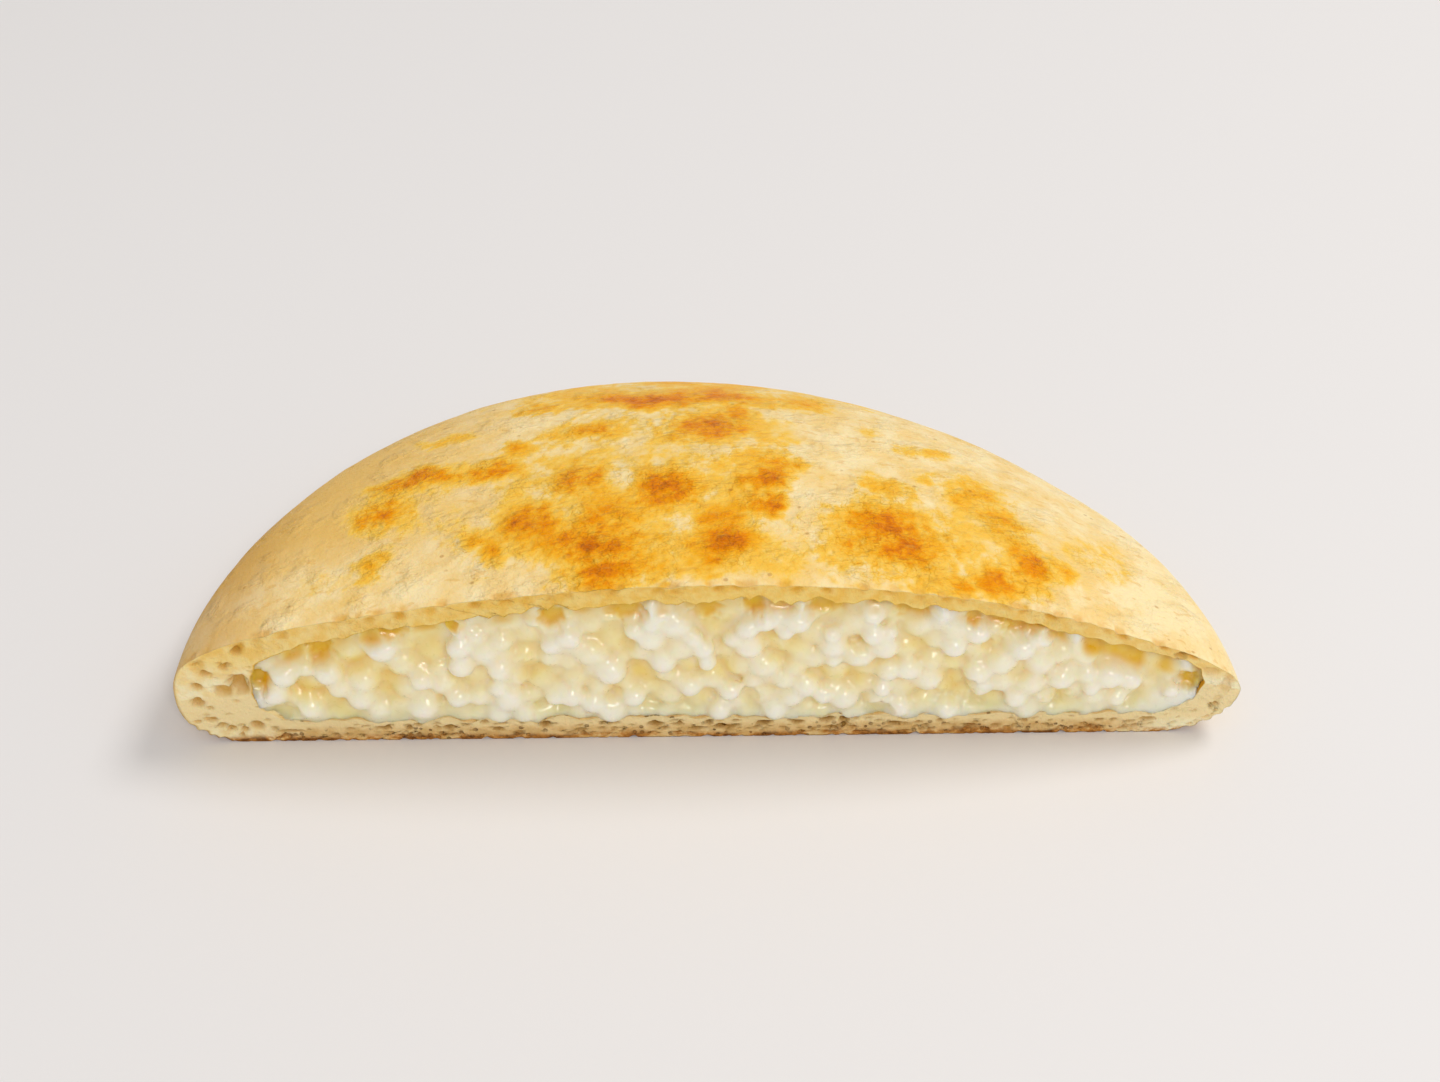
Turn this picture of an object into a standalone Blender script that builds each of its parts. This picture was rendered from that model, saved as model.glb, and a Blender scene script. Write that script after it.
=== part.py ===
"""Half of a round cheese pie, cut through the middle: a baked bread crust round a filling of melted curd.

Frame: +X runs along the cut from left to right, +Y from the cut to the back rim, and +Z up. The pie
stands on z = 0, and the origin lies below the middle of its box.
"""

import math
import random
from collections import namedtuple

import bmesh
import bpy
from mathutils import Matrix, Vector, noise

MM = 0.001

# The whole loaf before it was cut: half its width along the cut, its reach from the cut to the back rim,
# the height of its crown, the height at which its rim bulges out furthest, and how far in the underside
# starts to curl up to that rim.
LOAF_HALF_WIDTH = 80.3 * MM
LOAF_DEPTH = 81.3 * MM
LOAF_HEIGHT = 30.6 * MM
LOAF_RIM_HEIGHT = 8.6 * MM
LOAF_TUCK = 9.4 * MM

# The bread's thickness over, under and round the filling, and the same two values for the filling's room.
TOP_CRUST = 3 * MM
BASE_CRUST = 4.2 * MM
RIM_CRUST_LEFT = 11 * MM
RIM_CRUST_RIGHT = 5 * MM
RIM_CRUST_BACK = 9 * MM
ROOM_RIM_HEIGHT = 10 * MM
ROOM_TUCK = 10 * MM

# How the dome rounds off: rise = (1 - share of the way out ^ power) ^ fullness. The loaf is lopsided, so
# each value changes from the middle to the right end, and by as much the other way to the left end.
DOME_POWER, DOME_POWER_CHANGE = 1.98, 0.29
DOME_FULLNESS, DOME_FULLNESS_CHANGE = 0.61, 0.26
CROWN_CHANGE = 0.4 * MM
RIM_HEIGHT_CHANGE = 0.1 * MM
TUCK_CHANGE = 1.7 * MM
BACK_SHIFT_LEFT = 4.8 * MM

# Unevenness of a loaf shaped by hand: slow swells of the dome behind the cut, an outline that isn't quite
# round, and the torn inner edge of the top crust, which fades out behind the cut.
SWELL_HEIGHT, SWELL_SIZE, SWELL_START = 0.9 * MM, 24 * MM, 12 * MM
OUTLINE_WOBBLE, OUTLINE_WAVES = 0.012, 1.7
TEAR_HEIGHT, TEAR_SIZE, TEAR_REACH = 0.9 * MM, 7 * MM, 5 * MM

# The bread and the filling meet with a thin gap. The filling's core lies behind the curds of its cut face.
CLEARANCE = 0.3 * MM
CORE_SETBACK = 2.3 * MM

# Curds: lumps in staggered rows over the cut face, each moved, sized and turned a little differently.
CURD_SPACING = 5.4 * MM
CURD_JITTER = 1.3 * MM
CURD_RADIUS_LEAST, CURD_RADIUS_MOST = 2.3 * MM, 3.2 * MM
CURD_CENTRE_NEAR, CURD_CENTRE_FAR = 1.7 * MM, 2.7 * MM
CURD_LUMPINESS = 0.22
CURD_SEED = 7

Hole = namedtuple("Hole", "x z width height depth")

# Steam holes that show in the bread of the cut face, in millimetres from the middle of the cut's base.
STEAM_HOLES = (
    Hole(-77.2, 8.1, 2.0, 1.9, 1.2),
    Hole(-76.8, 11.3, 1.8, 1.4, 1.0),
    Hole(-75.1, 13.9, 2.0, 1.1, 1.0),
    Hole(-72.2, 15.2, 1.3, 1.2, 1.0),
    Hole(-69.9, 18.2, 1.6, 1.4, 1.0),
    Hole(-72.6, 11.0, 3.4, 2.8, 1.4),
    Hole(-75.9, 4.6, 2.2, 1.1, 1.0),
    Hole(-72.9, 2.6, 1.4, 1.2, 1.0),
    Hole(-69.0, 3.2, 2.1, 1.5, 1.0),
    Hole(-40.0, 2.4, 1.8, 0.8, 1.0),
    Hole(-12.0, 2.3, 1.7, 0.8, 1.0),
    Hole(7.5, 2.4, 1.8, 0.9, 1.0),
    Hole(28.0, 2.2, 2.0, 0.9, 1.0),
    Hole(66.5, 2.6, 2.8, 0.8, 1.0),
    Hole(76.2, 5.4, 1.8, 0.9, 1.0),
    Hole(77.4, 9.0, 1.8, 2.6, 1.0),
)

# Hollows between the curds, and below the top crust where the filling pulled back from it.
FILLING_GAPS = (
    Hole(-67.6, 12.0, 3.4, 5.2, 5.0),
    Hole(-58.0, 18.4, 3.0, 4.0, 4.0),
    Hole(72.3, 9.9, 4.4, 3.6, 4.5),
    Hole(59.1, 17.6, 5.0, 3.8, 4.0),
    Hole(64.6, 14.6, 5.0, 3.8, 4.0),
    Hole(45.6, 22.4, 5.4, 2.4, 3.5),
    Hole(-1.3, 26.3, 3.6, 3.0, 4.0),
    Hole(6.0, 26.2, 3.0, 2.0, 3.0),
    Hole(17.6, 26.2, 3.4, 2.0, 3.0),
    Hole(29.2, 25.2, 5.4, 2.2, 3.0),
    Hole(-12.4, 18.4, 1.8, 1.8, 3.5),
    Hole(-18.8, 24.8, 4.4, 2.0, 3.0),
    Hole(9.2, 17.1, 2.0, 3.0, 3.5),
    Hole(5.7, 8.2, 2.6, 2.8, 3.5),
    Hole(37.0, 9.3, 4.4, 4.0, 3.5),
    Hole(22.0, 18.2, 2.2, 2.2, 3.5),
    Hole(41.0, 17.6, 1.8, 1.8, 3.5),
    Hole(25.2, 5.6, 3.4, 2.0, 3.0),
    Hole(-65.0, 5.9, 4.0, 2.0, 3.0),
    Hole(-40.5, 21.0, 2.6, 2.6, 3.5),
)

# How finely each form is divided: points round a section, and sections from the front to the back.
LOAF_SEGMENTS, LOAF_SECTIONS = 88, 28
ROOM_SEGMENTS, ROOM_SECTIONS = 72, 16
HOLE_SEGMENTS, HOLE_SECTIONS = 8, 6
CURD_SEGMENTS, CURD_SECTIONS = 6, 4

Form = namedtuple("Form", "middle half_width depth height rim_height floor tuck tear")

LOAF = Form(0, LOAF_HALF_WIDTH, LOAF_DEPTH, LOAF_HEIGHT, LOAF_RIM_HEIGHT, 0, LOAF_TUCK, 0)
ROOM = Form(
    middle=(RIM_CRUST_LEFT - RIM_CRUST_RIGHT) / 2,
    half_width=LOAF_HALF_WIDTH - (RIM_CRUST_LEFT + RIM_CRUST_RIGHT) / 2,
    depth=LOAF_DEPTH - RIM_CRUST_BACK,
    height=LOAF_HEIGHT - TOP_CRUST,
    rim_height=ROOM_RIM_HEIGHT,
    floor=BASE_CRUST,
    tuck=ROOM_TUCK,
    tear=TEAR_HEIGHT,
)
FILLING = ROOM._replace(
    half_width=ROOM.half_width - CLEARANCE,
    depth=ROOM.depth - CLEARANCE,
    height=ROOM.height - CLEARANCE,
    floor=ROOM.floor + CLEARANCE,
)


def rim_height(form, across):
    """Height of a form's rim, where across runs from -1 at the left end to 1 at the right end."""
    return form.rim_height + RIM_HEIGHT_CHANGE * across


def dome_height(form, across, out):
    """Height of a form's upper side, where out runs from 0 in the middle to 1 at the rim."""
    rim = rim_height(form, across)
    crown = form.height + CROWN_CHANGE * across
    power = DOME_POWER + DOME_POWER_CHANGE * across
    fullness = DOME_FULLNESS + DOME_FULLNESS_CHANGE * across
    return rim + (crown - rim) * (1 - min(out, 1) ** power) ** fullness


def base_height(form, across, out):
    """Height of a form's underside: flat, then curling up to the rim through a quarter of an ellipse."""
    tuck = form.tuck + TUCK_CHANGE * across
    curl = min(1 - (1 - out) * form.half_width / tuck, 1)
    if curl <= 0:
        return form.floor
    return form.floor + (rim_height(form, across) - form.floor) * (1 - math.sqrt(1 - curl * curl))


def form_point(form, direction):
    """The point of a form that a direction of the unit sphere stands for."""
    across, back = direction.x, direction.y
    out = math.hypot(across, back)
    wobble = noise.noise(Vector((across, back, 0)) * OUTLINE_WAVES) * OUTLINE_WOBBLE * out**3
    x = form.middle + form.half_width * across * (1 + wobble) - BACK_SHIFT_LEFT * back * back
    y = form.depth * back * (1 + wobble)
    if direction.z < 0:
        return Vector((x, y, base_height(form, across, out)))
    z = dome_height(form, across, out)
    lift = (z - form.rim_height) / (form.height - form.rim_height)
    swell = SWELL_HEIGHT * noise.noise(Vector((x, y, 0)) / SWELL_SIZE) * (1 - math.exp(-abs(y) / SWELL_START))
    tear = form.tear * noise.noise(Vector((x, 0, 0)) / TEAR_SIZE) * math.exp(-abs(y) / TEAR_REACH)
    return Vector((x, y, z + lift * (swell + tear)))


def new_collection(name, parent=None):
    collection = bpy.data.collections.new(name)
    (parent or bpy.context.scene.collection).children.link(collection)
    return collection


def new_object(name, shape, collection):
    """Puts a closed bmesh into a collection as an object, with its faces pointing out."""
    bmesh.ops.recalc_face_normals(shape, faces=shape.faces)
    mesh = bpy.data.meshes.new(name)
    shape.to_mesh(mesh)
    shape.free()
    part = bpy.data.objects.new(name, mesh)
    collection.objects.link(part)
    return part


def new_form(name, form, segments, sections, collection, cut_at=None):
    """A form as a closed mesh: a sphere with its poles at the front and the back, each point moved out
    to the form. With cut_at, what lies in front of that plane is cut off, and the cut is closed."""
    shape = bmesh.new()
    bmesh.ops.create_uvsphere(shape, u_segments=segments, v_segments=sections, radius=1)
    bmesh.ops.rotate(shape, verts=shape.verts, matrix=Matrix.Rotation(math.radians(90), 3, "X"))
    for vertex in shape.verts:
        vertex.co = form_point(form, vertex.co)
    if cut_at is not None:
        everything = shape.verts[:] + shape.edges[:] + shape.faces[:]
        plane = {"plane_co": (0, cut_at, 0), "plane_no": (0, -1, 0)}
        bmesh.ops.bisect_plane(shape, geom=everything, dist=MM / 1000, clear_outer=True, **plane)
        bmesh.ops.contextual_create(shape, geom=[edge for edge in shape.edges if edge.is_boundary])
    return new_object(name, shape, collection)


def hide_cutter(cutter):
    cutter.hide_render = True
    cutter.display_type = "WIRE"
    return cutter


def new_hole_cutter(name, hole, collection):
    """An egg-shaped cutter, centred on the cut plane, so that its hole opens to the front."""
    shape = bmesh.new()
    bmesh.ops.create_uvsphere(shape, u_segments=HOLE_SEGMENTS, v_segments=HOLE_SECTIONS, radius=1)
    bmesh.ops.scale(shape, verts=shape.verts, vec=Vector((hole.width / 2, hole.depth, hole.height / 2)) * MM)
    cutter = new_object(name, shape, collection)
    cutter.location = (hole.x * MM, 0, hole.z * MM)
    return hide_cutter(cutter)


def add_boolean(part, operation, collection, solver="EXACT"):
    """A Boolean between a part and everything in a collection."""
    boolean = part.modifiers.new(collection.name, "BOOLEAN")
    boolean.operation = operation
    boolean.operand_type = "COLLECTION"
    boolean.collection = collection
    boolean.solver = solver


def apply_booleans(part):
    """Turns what a part's Booleans make into its own mesh, and removes the collections that they took."""
    bpy.context.view_layer.update()
    graph = bpy.context.evaluated_depsgraph_get()
    made = bpy.data.meshes.new_from_object(part.evaluated_get(graph))
    used = [modifier.collection for modifier in part.modifiers]
    part.modifiers.clear()
    part.data = made
    for collection in used:
        for helper in list(collection.objects):
            bpy.data.objects.remove(helper)
        bpy.data.collections.remove(collection)


def shells_of(shape):
    """The sets of points of a bmesh that its edges join."""
    waiting = set(shape.verts)
    shells = []
    while waiting:
        shell = {waiting.pop()}
        front = list(shell)
        while front:
            vertex = front.pop()
            for edge in vertex.link_edges:
                other = edge.other_vert(vertex)
                if other not in shell:
                    shell.add(other)
                    front.append(other)
        waiting -= shell
        shells.append(shell)
    return shells


def keep_largest_shell(part):
    """Drops the scraps that cutting left loose, and fills the hollows that fusing sealed."""
    shape = bmesh.new()
    shape.from_mesh(part.data)
    shells = shells_of(shape)
    largest = max(shells, key=len)
    dropped = [vertex for shell in shells if shell is not largest for vertex in shell]
    bmesh.ops.delete(shape, geom=dropped, context="VERTS")
    shape.to_mesh(part.data)
    shape.free()


def in_filling_gap(x, z, margin):
    """Whether a point of the cut face, in metres, lies in one of the filling's hollows or close to it."""
    return any(
        math.hypot((x / MM - gap.x) / (gap.width / 2 + margin), (z / MM - gap.z) / (gap.height / 2 + margin)) < 1
        for gap in FILLING_GAPS
    )


def curd_places():
    """Centre and radius of each curd of the cut face, in rows from the base up, none of them in a hollow."""
    draw = random.Random(CURD_SEED)
    row_height = CURD_SPACING * math.sin(math.radians(60))
    places = []
    for row in range(math.ceil(FILLING.height / row_height)):
        for column in range(math.ceil(2 * FILLING.half_width / CURD_SPACING)):
            x = FILLING.middle - FILLING.half_width + (column + 0.5 + (row % 2) / 2) * CURD_SPACING
            z = FILLING.floor + (row + 0.5) * row_height
            x += draw.uniform(-CURD_JITTER, CURD_JITTER)
            z += draw.uniform(-CURD_JITTER, CURD_JITTER)
            y = draw.uniform(CURD_CENTRE_NEAR, CURD_CENTRE_FAR)
            radius = draw.uniform(CURD_RADIUS_LEAST, CURD_RADIUS_MOST)
            across = (x - FILLING.middle) / FILLING.half_width
            if abs(across) > 1 or in_filling_gap(x, z, 0.8):
                continue
            lowest = base_height(FILLING, across, abs(across)) + radius / 2
            highest = dome_height(FILLING, across, abs(across)) - radius / 2
            if lowest < z < highest:
                places.append((Vector((x, y, z)), radius))
    return places


def new_curd(name, centre, radius, collection):
    """One curd: a ball pushed out of round, so that no two are alike."""
    shape = bmesh.new()
    bmesh.ops.create_uvsphere(shape, u_segments=CURD_SEGMENTS, v_segments=CURD_SECTIONS, radius=radius)
    for vertex in shape.verts:
        vertex.co *= 1 + CURD_LUMPINESS * noise.noise((centre + vertex.co) / radius)
    curd = new_object(name, shape, collection)
    curd.location = centre
    return curd


def new_material(name, colour, roughness):
    material = bpy.data.materials.new(name)
    material.use_nodes = True
    shader = material.node_tree.nodes["Principled BSDF"]
    shader.inputs["Base Color"].default_value = (*colour, 1)
    shader.inputs["Roughness"].default_value = roughness
    shader.inputs["Metallic"].default_value = 0
    return material


def make_crust(pie, cutters):
    """The bread: half a loaf, less the room for its filling and the steam holes of its crumb."""
    crust = new_form("bread_crust", LOAF, LOAF_SEGMENTS, LOAF_SECTIONS, pie, cut_at=0)
    hollows = new_collection("filling room and steam holes", cutters)
    hide_cutter(new_form("filling_room", ROOM, ROOM_SEGMENTS, ROOM_SECTIONS, hollows))
    for number, hole in enumerate(STEAM_HOLES):
        new_hole_cutter(f"steam_hole_{number}", hole, hollows)
    add_boolean(crust, "DIFFERENCE", hollows)
    crust.data.materials.append(new_material("baked bread", (0.86, 0.62, 0.29), 0.6))
    return crust


def make_filling(pie):
    """The melted cheese: a core that runs all through the bread, with the curds of its cut face fused on."""
    filling = new_form("cheese_filling", FILLING, ROOM_SEGMENTS, ROOM_SECTIONS, pie, cut_at=CORE_SETBACK)
    curds = new_collection("curds")
    for number, (centre, radius) in enumerate(curd_places()):
        new_curd(f"curd_{number}", centre, radius, curds)
    gaps = new_collection("filling gaps")
    for number, gap in enumerate(FILLING_GAPS):
        new_hole_cutter(f"filling_gap_{number}", gap, gaps)
    limit = new_collection("filling limit")
    new_form("filling_limit", FILLING, ROOM_SEGMENTS, ROOM_SECTIONS, limit)

    add_boolean(filling, "UNION", curds, solver="MANIFOLD")
    add_boolean(filling, "DIFFERENCE", gaps, solver="MANIFOLD")
    add_boolean(filling, "INTERSECT", limit, solver="MANIFOLD")
    apply_booleans(filling)
    keep_largest_shell(filling)
    filling.data.materials.clear()
    filling.data.materials.append(new_material("melted curd", (0.86, 0.79, 0.55), 0.35))
    return filling


def stand_on_origin(parts, pie):
    """Hangs every object, cutters too, on an empty that brings the middle of the parts' base to the origin."""
    bpy.context.view_layer.update()
    graph = bpy.context.evaluated_depsgraph_get()
    corners = [Vector(corner) for part in parts for corner in part.evaluated_get(graph).bound_box]
    lowest = [min(corner[axis] for corner in corners) for axis in range(3)]
    highest = [max(corner[axis] for corner in corners) for axis in range(3)]
    frame = bpy.data.objects.new("pie_frame", None)
    frame.location = (-(lowest[0] + highest[0]) / 2, -(lowest[1] + highest[1]) / 2, -lowest[2])
    for thing in list(bpy.data.objects):
        if thing is not frame:
            thing.parent = frame
    pie.objects.link(frame)


def main():
    for leftover in list(bpy.data.objects):
        bpy.data.objects.remove(leftover)
    pie = new_collection("cheese pie half")
    cutters = new_collection("cutters")
    stand_on_origin([make_crust(pie, cutters), make_filling(pie)], pie)


main()
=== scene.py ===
"""Half of a round cheese pie, cut through the middle: the baked crust, the melted curd and a pale table."""

import math
import random
from collections import namedtuple

import bmesh
import bpy
import numpy as np
from mathutils import Matrix, Vector, noise


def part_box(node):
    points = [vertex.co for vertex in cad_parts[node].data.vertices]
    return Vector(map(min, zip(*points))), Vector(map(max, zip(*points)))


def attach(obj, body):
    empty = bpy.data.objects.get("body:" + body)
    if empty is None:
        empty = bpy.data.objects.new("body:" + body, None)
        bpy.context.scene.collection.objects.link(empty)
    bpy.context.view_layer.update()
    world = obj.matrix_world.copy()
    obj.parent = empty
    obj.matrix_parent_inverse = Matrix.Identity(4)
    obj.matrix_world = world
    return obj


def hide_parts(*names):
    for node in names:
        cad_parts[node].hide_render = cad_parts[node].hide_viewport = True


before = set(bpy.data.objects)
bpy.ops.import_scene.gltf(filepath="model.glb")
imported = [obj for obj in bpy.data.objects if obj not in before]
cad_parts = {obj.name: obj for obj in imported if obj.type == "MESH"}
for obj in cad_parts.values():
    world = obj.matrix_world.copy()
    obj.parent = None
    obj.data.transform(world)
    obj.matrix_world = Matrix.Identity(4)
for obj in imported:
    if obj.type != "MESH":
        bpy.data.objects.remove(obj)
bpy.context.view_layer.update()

MM = 0.001

# The bread crust: one round of soft dough, closed over its filling, baked on a hot floor and cut in half
# with a knife. Its skin is floury and pale, with browned blisters, its crumb shows along the cut, and its
# flat underside is toasted. All lengths are measured from the middle of the cut's base.

# A form has its middle along the cut, half its width there, its reach to the back, the heights of its crown,
# of the widest place of its rim and of its floor, how far in the floor starts to curl up to the rim, and how
# ragged its edge is torn. The room for the filling has a form like the loaf's.
Form = namedtuple("Form", "middle half_width depth height rim_height floor tuck tear")
LOAF = Form(0, 80.3 * MM, 81.3 * MM, 30.6 * MM, 8.6 * MM, 0, 9.4 * MM, 0)
ROOM = Form(3 * MM, 72.3 * MM, 72.3 * MM, 27.6 * MM, 10 * MM, 4.2 * MM, 10 * MM, 0.9 * MM)

# How the dome rounds off, and how lopsided the loaf is: each value changes from the middle to the right
# end, and by as much the other way to the left end.
DOME_POWER, DOME_POWER_CHANGE = 1.98, 0.29
DOME_FULLNESS, DOME_FULLNESS_CHANGE = 0.61, 0.26
CROWN_CHANGE, RIM_HEIGHT_CHANGE, TUCK_CHANGE = 0.4 * MM, 0.1 * MM, 1.7 * MM
BACK_SHIFT_LEFT = 4.8 * MM

# The swells of the skin, the wobble of the outline, the wandering torn edge, and how blunt the right tip is.
SWELL_HEIGHT, SWELL_SIZE, SWELL_START = 0.9 * MM, 24 * MM, 12 * MM
OUTLINE_WOBBLE, OUTLINE_WAVES = 0.012, 1.7
TEAR_SIZE, TEAR_REACH = 7 * MM, 5 * MM
BLUNT_END, BLUNT_PLACE, BLUNT_REACH, BLUNT_ROUNDING = 1.5 * MM, 0.95, 0.2, 0.02


def ripple(points, size, shift=0.0):
    """Smooth noise from -1 to 1 at each point, with waves of about that size."""
    moved = points / size + shift
    return np.array([noise.noise(point) for point in moved.tolist()])


def columns(*values):
    """Points from their x, y and z, each an array or one number."""
    return np.stack(np.broadcast_arrays(*values), axis=-1).astype(float)


def fall(distance, inner, outer):
    """1 up to the inner distance, falling smoothly to 0 at the outer one."""
    share = np.clip((outer - distance) / (outer - inner), 0, 1)
    return share * share * (3 - 2 * share)


def rim_height(form, across):
    """Height at which the rim bulges out furthest."""
    return form.rim_height + RIM_HEIGHT_CHANGE * across


def dome_height(form, across, out):
    """Height of a form's upper side: across runs from -1 to 1 along the cut, out from 0 to 1 at the rim."""
    rim = rim_height(form, across)
    crown = form.height + CROWN_CHANGE * across
    power = DOME_POWER + DOME_POWER_CHANGE * across
    fullness = DOME_FULLNESS + DOME_FULLNESS_CHANGE * across
    return rim + (crown - rim) * (1 - np.minimum(out, 1) ** power) ** fullness


def base_height(form, across, out):
    """Height of a form's underside: flat, then curling up to the rim."""
    tuck = form.tuck + TUCK_CHANGE * across
    curl = np.clip(1 - (1 - out) * form.half_width / tuck, 0, 1)
    return form.floor + (rim_height(form, across) - form.floor) * (1 - np.sqrt(1 - curl * curl))


def form_points(form, across, back, up):
    """The points of a form that directions of the unit sphere stand for."""
    out = np.minimum(np.hypot(across, back), 1)
    wobble = ripple(columns(across, back, 0), 1 / OUTLINE_WAVES) * OUTLINE_WOBBLE * out**3
    x = form.middle + form.half_width * across * (1 + wobble) - BACK_SHIFT_LEFT * back * back
    y = form.depth * back * (1 + wobble)
    z = dome_height(form, across, out)
    lift = (z - form.rim_height) / (form.height - form.rim_height)
    swell = SWELL_HEIGHT * ripple(columns(x, y, 0), SWELL_SIZE) * (1 - np.exp(-np.abs(y) / SWELL_START))
    tear = form.tear * ripple(columns(x, 0, 0), TEAR_SIZE) * np.exp(-np.abs(y) / TEAR_REACH)
    blunt = BLUNT_END * fall(np.abs(across - BLUNT_PLACE), 0.0, BLUNT_REACH)
    blunt = blunt * np.clip((1 - out) / BLUNT_ROUNDING, 0, 1) ** 0.5
    z = np.where(up < 0, base_height(form, across, out), z + lift * (swell + tear) + blunt)
    return columns(x, y, z)


def angles_round(form, spacings):
    """Angles round the cut outline, closer where it needs detail. spacings is a list of (angle in degrees,
    distance between neighbours there), from 0 at the right end over the top to 360."""
    fine = np.radians(np.linspace(0, 360, 20001))
    outline = form_points(form, np.cos(fine), np.zeros_like(fine), np.sin(fine))
    steps = np.linalg.norm(np.diff(outline, axis=0), axis=1)
    marks, gaps = zip(*spacings)
    wanted = np.interp(np.degrees(fine[:-1]), marks, gaps)
    count = np.concatenate([[0], np.cumsum(steps / wanted)])
    number = int(round(count[-1]))
    return np.interp(np.arange(number) * count[-1] / number, count, fine)


def rings(form, angles, distances):
    """Rows of points of a form, one row at each distance behind the cut."""
    back = np.array(distances) / form.depth
    level = np.sqrt(1 - back * back)
    across = level[:, None] * np.cos(angles)
    up = level[:, None] * np.sin(angles)
    behind = np.broadcast_to(back[:, None], across.shape)
    return form_points(form, across.ravel(), behind.ravel(), up.ravel()).reshape(len(back), len(angles), 3)


def growing(first, growth, most, end):
    """Distances from 0 to the end, whose steps grow from the first one to the largest."""
    distances, step = [0.0], first
    while distances[-1] + step < end:
        distances.append(distances[-1] + step)
        step = min(step * growth, most)
    return distances


def band_faces(first_row, last_row, around):
    """Quads between neighbouring rows of a closed band, each row starting at a multiple of around."""
    faces = []
    for row in range(first_row, last_row):
        low, high = row * around, (row + 1) * around
        for step in range(around):
            after = (step + 1) % around
            faces.append((low + step, low + after, high + after, high + step))
    return faces


Hole = namedtuple("Hole", "x z width height depth")

# Steam holes of the crumb, and the ends of the filling's room, where the bread curls round a hollow.
STEAM_HOLES = (
    Hole(-77.2, 8.1, 2.0, 1.9, 1.4),
    Hole(-76.8, 11.3, 1.8, 1.4, 1.1),
    Hole(-75.1, 13.9, 2.0, 1.1, 1.0),
    Hole(-72.2, 15.2, 1.3, 1.2, 1.0),
    Hole(-69.9, 18.2, 1.6, 1.4, 1.0),
    Hole(-70.4, 11.6, 3.6, 4.2, 2.2),
    Hole(-72.9, 10.4, 3.0, 2.6, 1.0),
    Hole(-75.9, 4.6, 2.2, 1.1, 1.0),
    Hole(-74.2, 3.4, 1.6, 1.1, 0.9),
    Hole(-72.9, 2.6, 1.4, 1.2, 1.0),
    Hole(-71.0, 2.4, 1.3, 1.5, 1.0),
    Hole(-69.0, 3.2, 2.1, 1.5, 1.2),
    Hole(-64.2, 2.0, 4.5, 0.6, 0.8),
    Hole(-50.0, 2.5, 2.0, 0.7, 0.9),
    Hole(-40.0, 2.4, 2.2, 1.0, 1.1),
    Hole(-32.6, 2.0, 1.6, 0.7, 0.9),
    Hole(-25.4, 2.8, 2.0, 1.3, 1.2),
    Hole(-20.0, 1.6, 2.0, 0.8, 1.0),
    Hole(-8.6, 2.7, 2.2, 1.2, 1.2),
    Hole(-5.3, 2.6, 1.9, 0.6, 0.9),
    Hole(-2.4, 1.7, 2.2, 0.9, 1.1),
    Hole(1.6, 2.0, 2.4, 1.1, 1.1),
    Hole(7.9, 2.6, 2.6, 1.1, 1.2),
    Hole(13.0, 2.8, 2.0, 0.9, 1.0),
    Hole(17.4, 3.3, 2.4, 1.5, 1.3),
    Hole(20.2, 3.2, 1.7, 1.6, 1.2),
    Hole(18.2, 1.6, 2.4, 0.8, 1.0),
    Hole(28.0, 2.2, 2.2, 1.0, 1.0),
    Hole(39.5, 1.7, 2.0, 0.7, 0.9),
    Hole(66.5, 2.6, 2.8, 0.8, 0.9),
    Hole(69.8, 15.6, 2.4, 1.2, 1.1),
    Hole(76.2, 5.4, 1.8, 0.9, 0.9),
    Hole(77.4, 9.4, 2.0, 3.4, 0.4),
    Hole(74.6, 12.4, 2.6, 1.6, 0.4),
    Hole(76.6, 6.6, 1.4, 1.8, 0.3),
)

Spot = namedtuple("Spot", "x y width depth strength")

# Browned blisters of the dome, in plan, in millimetres: how wide and deep each is, and how dark.
BLISTERS = (
    Spot(-15, 3.5, 10, 8, 1.00),
    Spot(-18, 11, 11, 8, 0.90),
    Spot(-17, 18.5, 8, 7, 0.55),
    Spot(-27, 18.5, 6, 8, 0.85),
    Spot(-20.5, 29, 6, 7.5, 0.80),
    Spot(-6.5, 25.2, 6, 8, 1.00),
    Spot(9.3, 26.7, 4.5, 6, 0.95),
    Spot(8.8, 20.3, 4, 5, 0.95),
    Spot(11.2, 32.2, 4, 6, 0.55),
    Spot(1.7, 10.4, 5.5, 7.5, 0.75),
    Spot(27.3, 13.4, 13, 14, 1.00),
    Spot(42.2, 4.6, 5.5, 6.5, 0.90),
    Spot(47.4, 10.4, 5.5, 8.5, 0.88),
    Spot(36.8, 3.4, 3.6, 4, 0.70),
    Spot(53.1, 11.7, 3.2, 5, 0.50),
    Spot(-35.4, 14.3, 5.5, 5, 0.65),
    Spot(-33, 10.3, 3.6, 4.5, 0.60),
    Spot(-51.2, 26.1, 6, 8, 0.80),
    Spot(-50.4, 11.8, 5, 6.5, 0.55),
    Spot(-46, 34.8, 11, 5, 0.85),
    Spot(-34.6, 34.5, 6, 5, 0.85),
    Spot(-31, 40.3, 5, 4.5, 0.60),
    Spot(-43, 49, 9.5, 4.5, 0.50),
    Spot(-19, 46.5, 11, 6.5, 0.75),
    Spot(-0.5, 47, 8, 8.5, 0.95),
    Spot(5.2, 53, 4, 5.5, 0.70),
    Spot(-11, 59, 12, 6, 0.85),
    Spot(1, 61, 16, 5, 0.55),
    Spot(-29.5, 58, 6, 5, 0.45),
    Spot(17.5, 59, 8, 5, 0.45),
    Spot(27.5, 28, 6, 5, 0.55),
    Spot(34.5, 33, 3.6, 4, 0.45),
    Spot(35.3, 42.5, 7, 4.5, 0.40),
    Spot(26.5, 48, 6, 4, 0.35),
    Spot(42.3, 30.5, 8.5, 12, 0.50),
    Spot(45.7, 23, 6, 10, 0.60),
)

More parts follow.
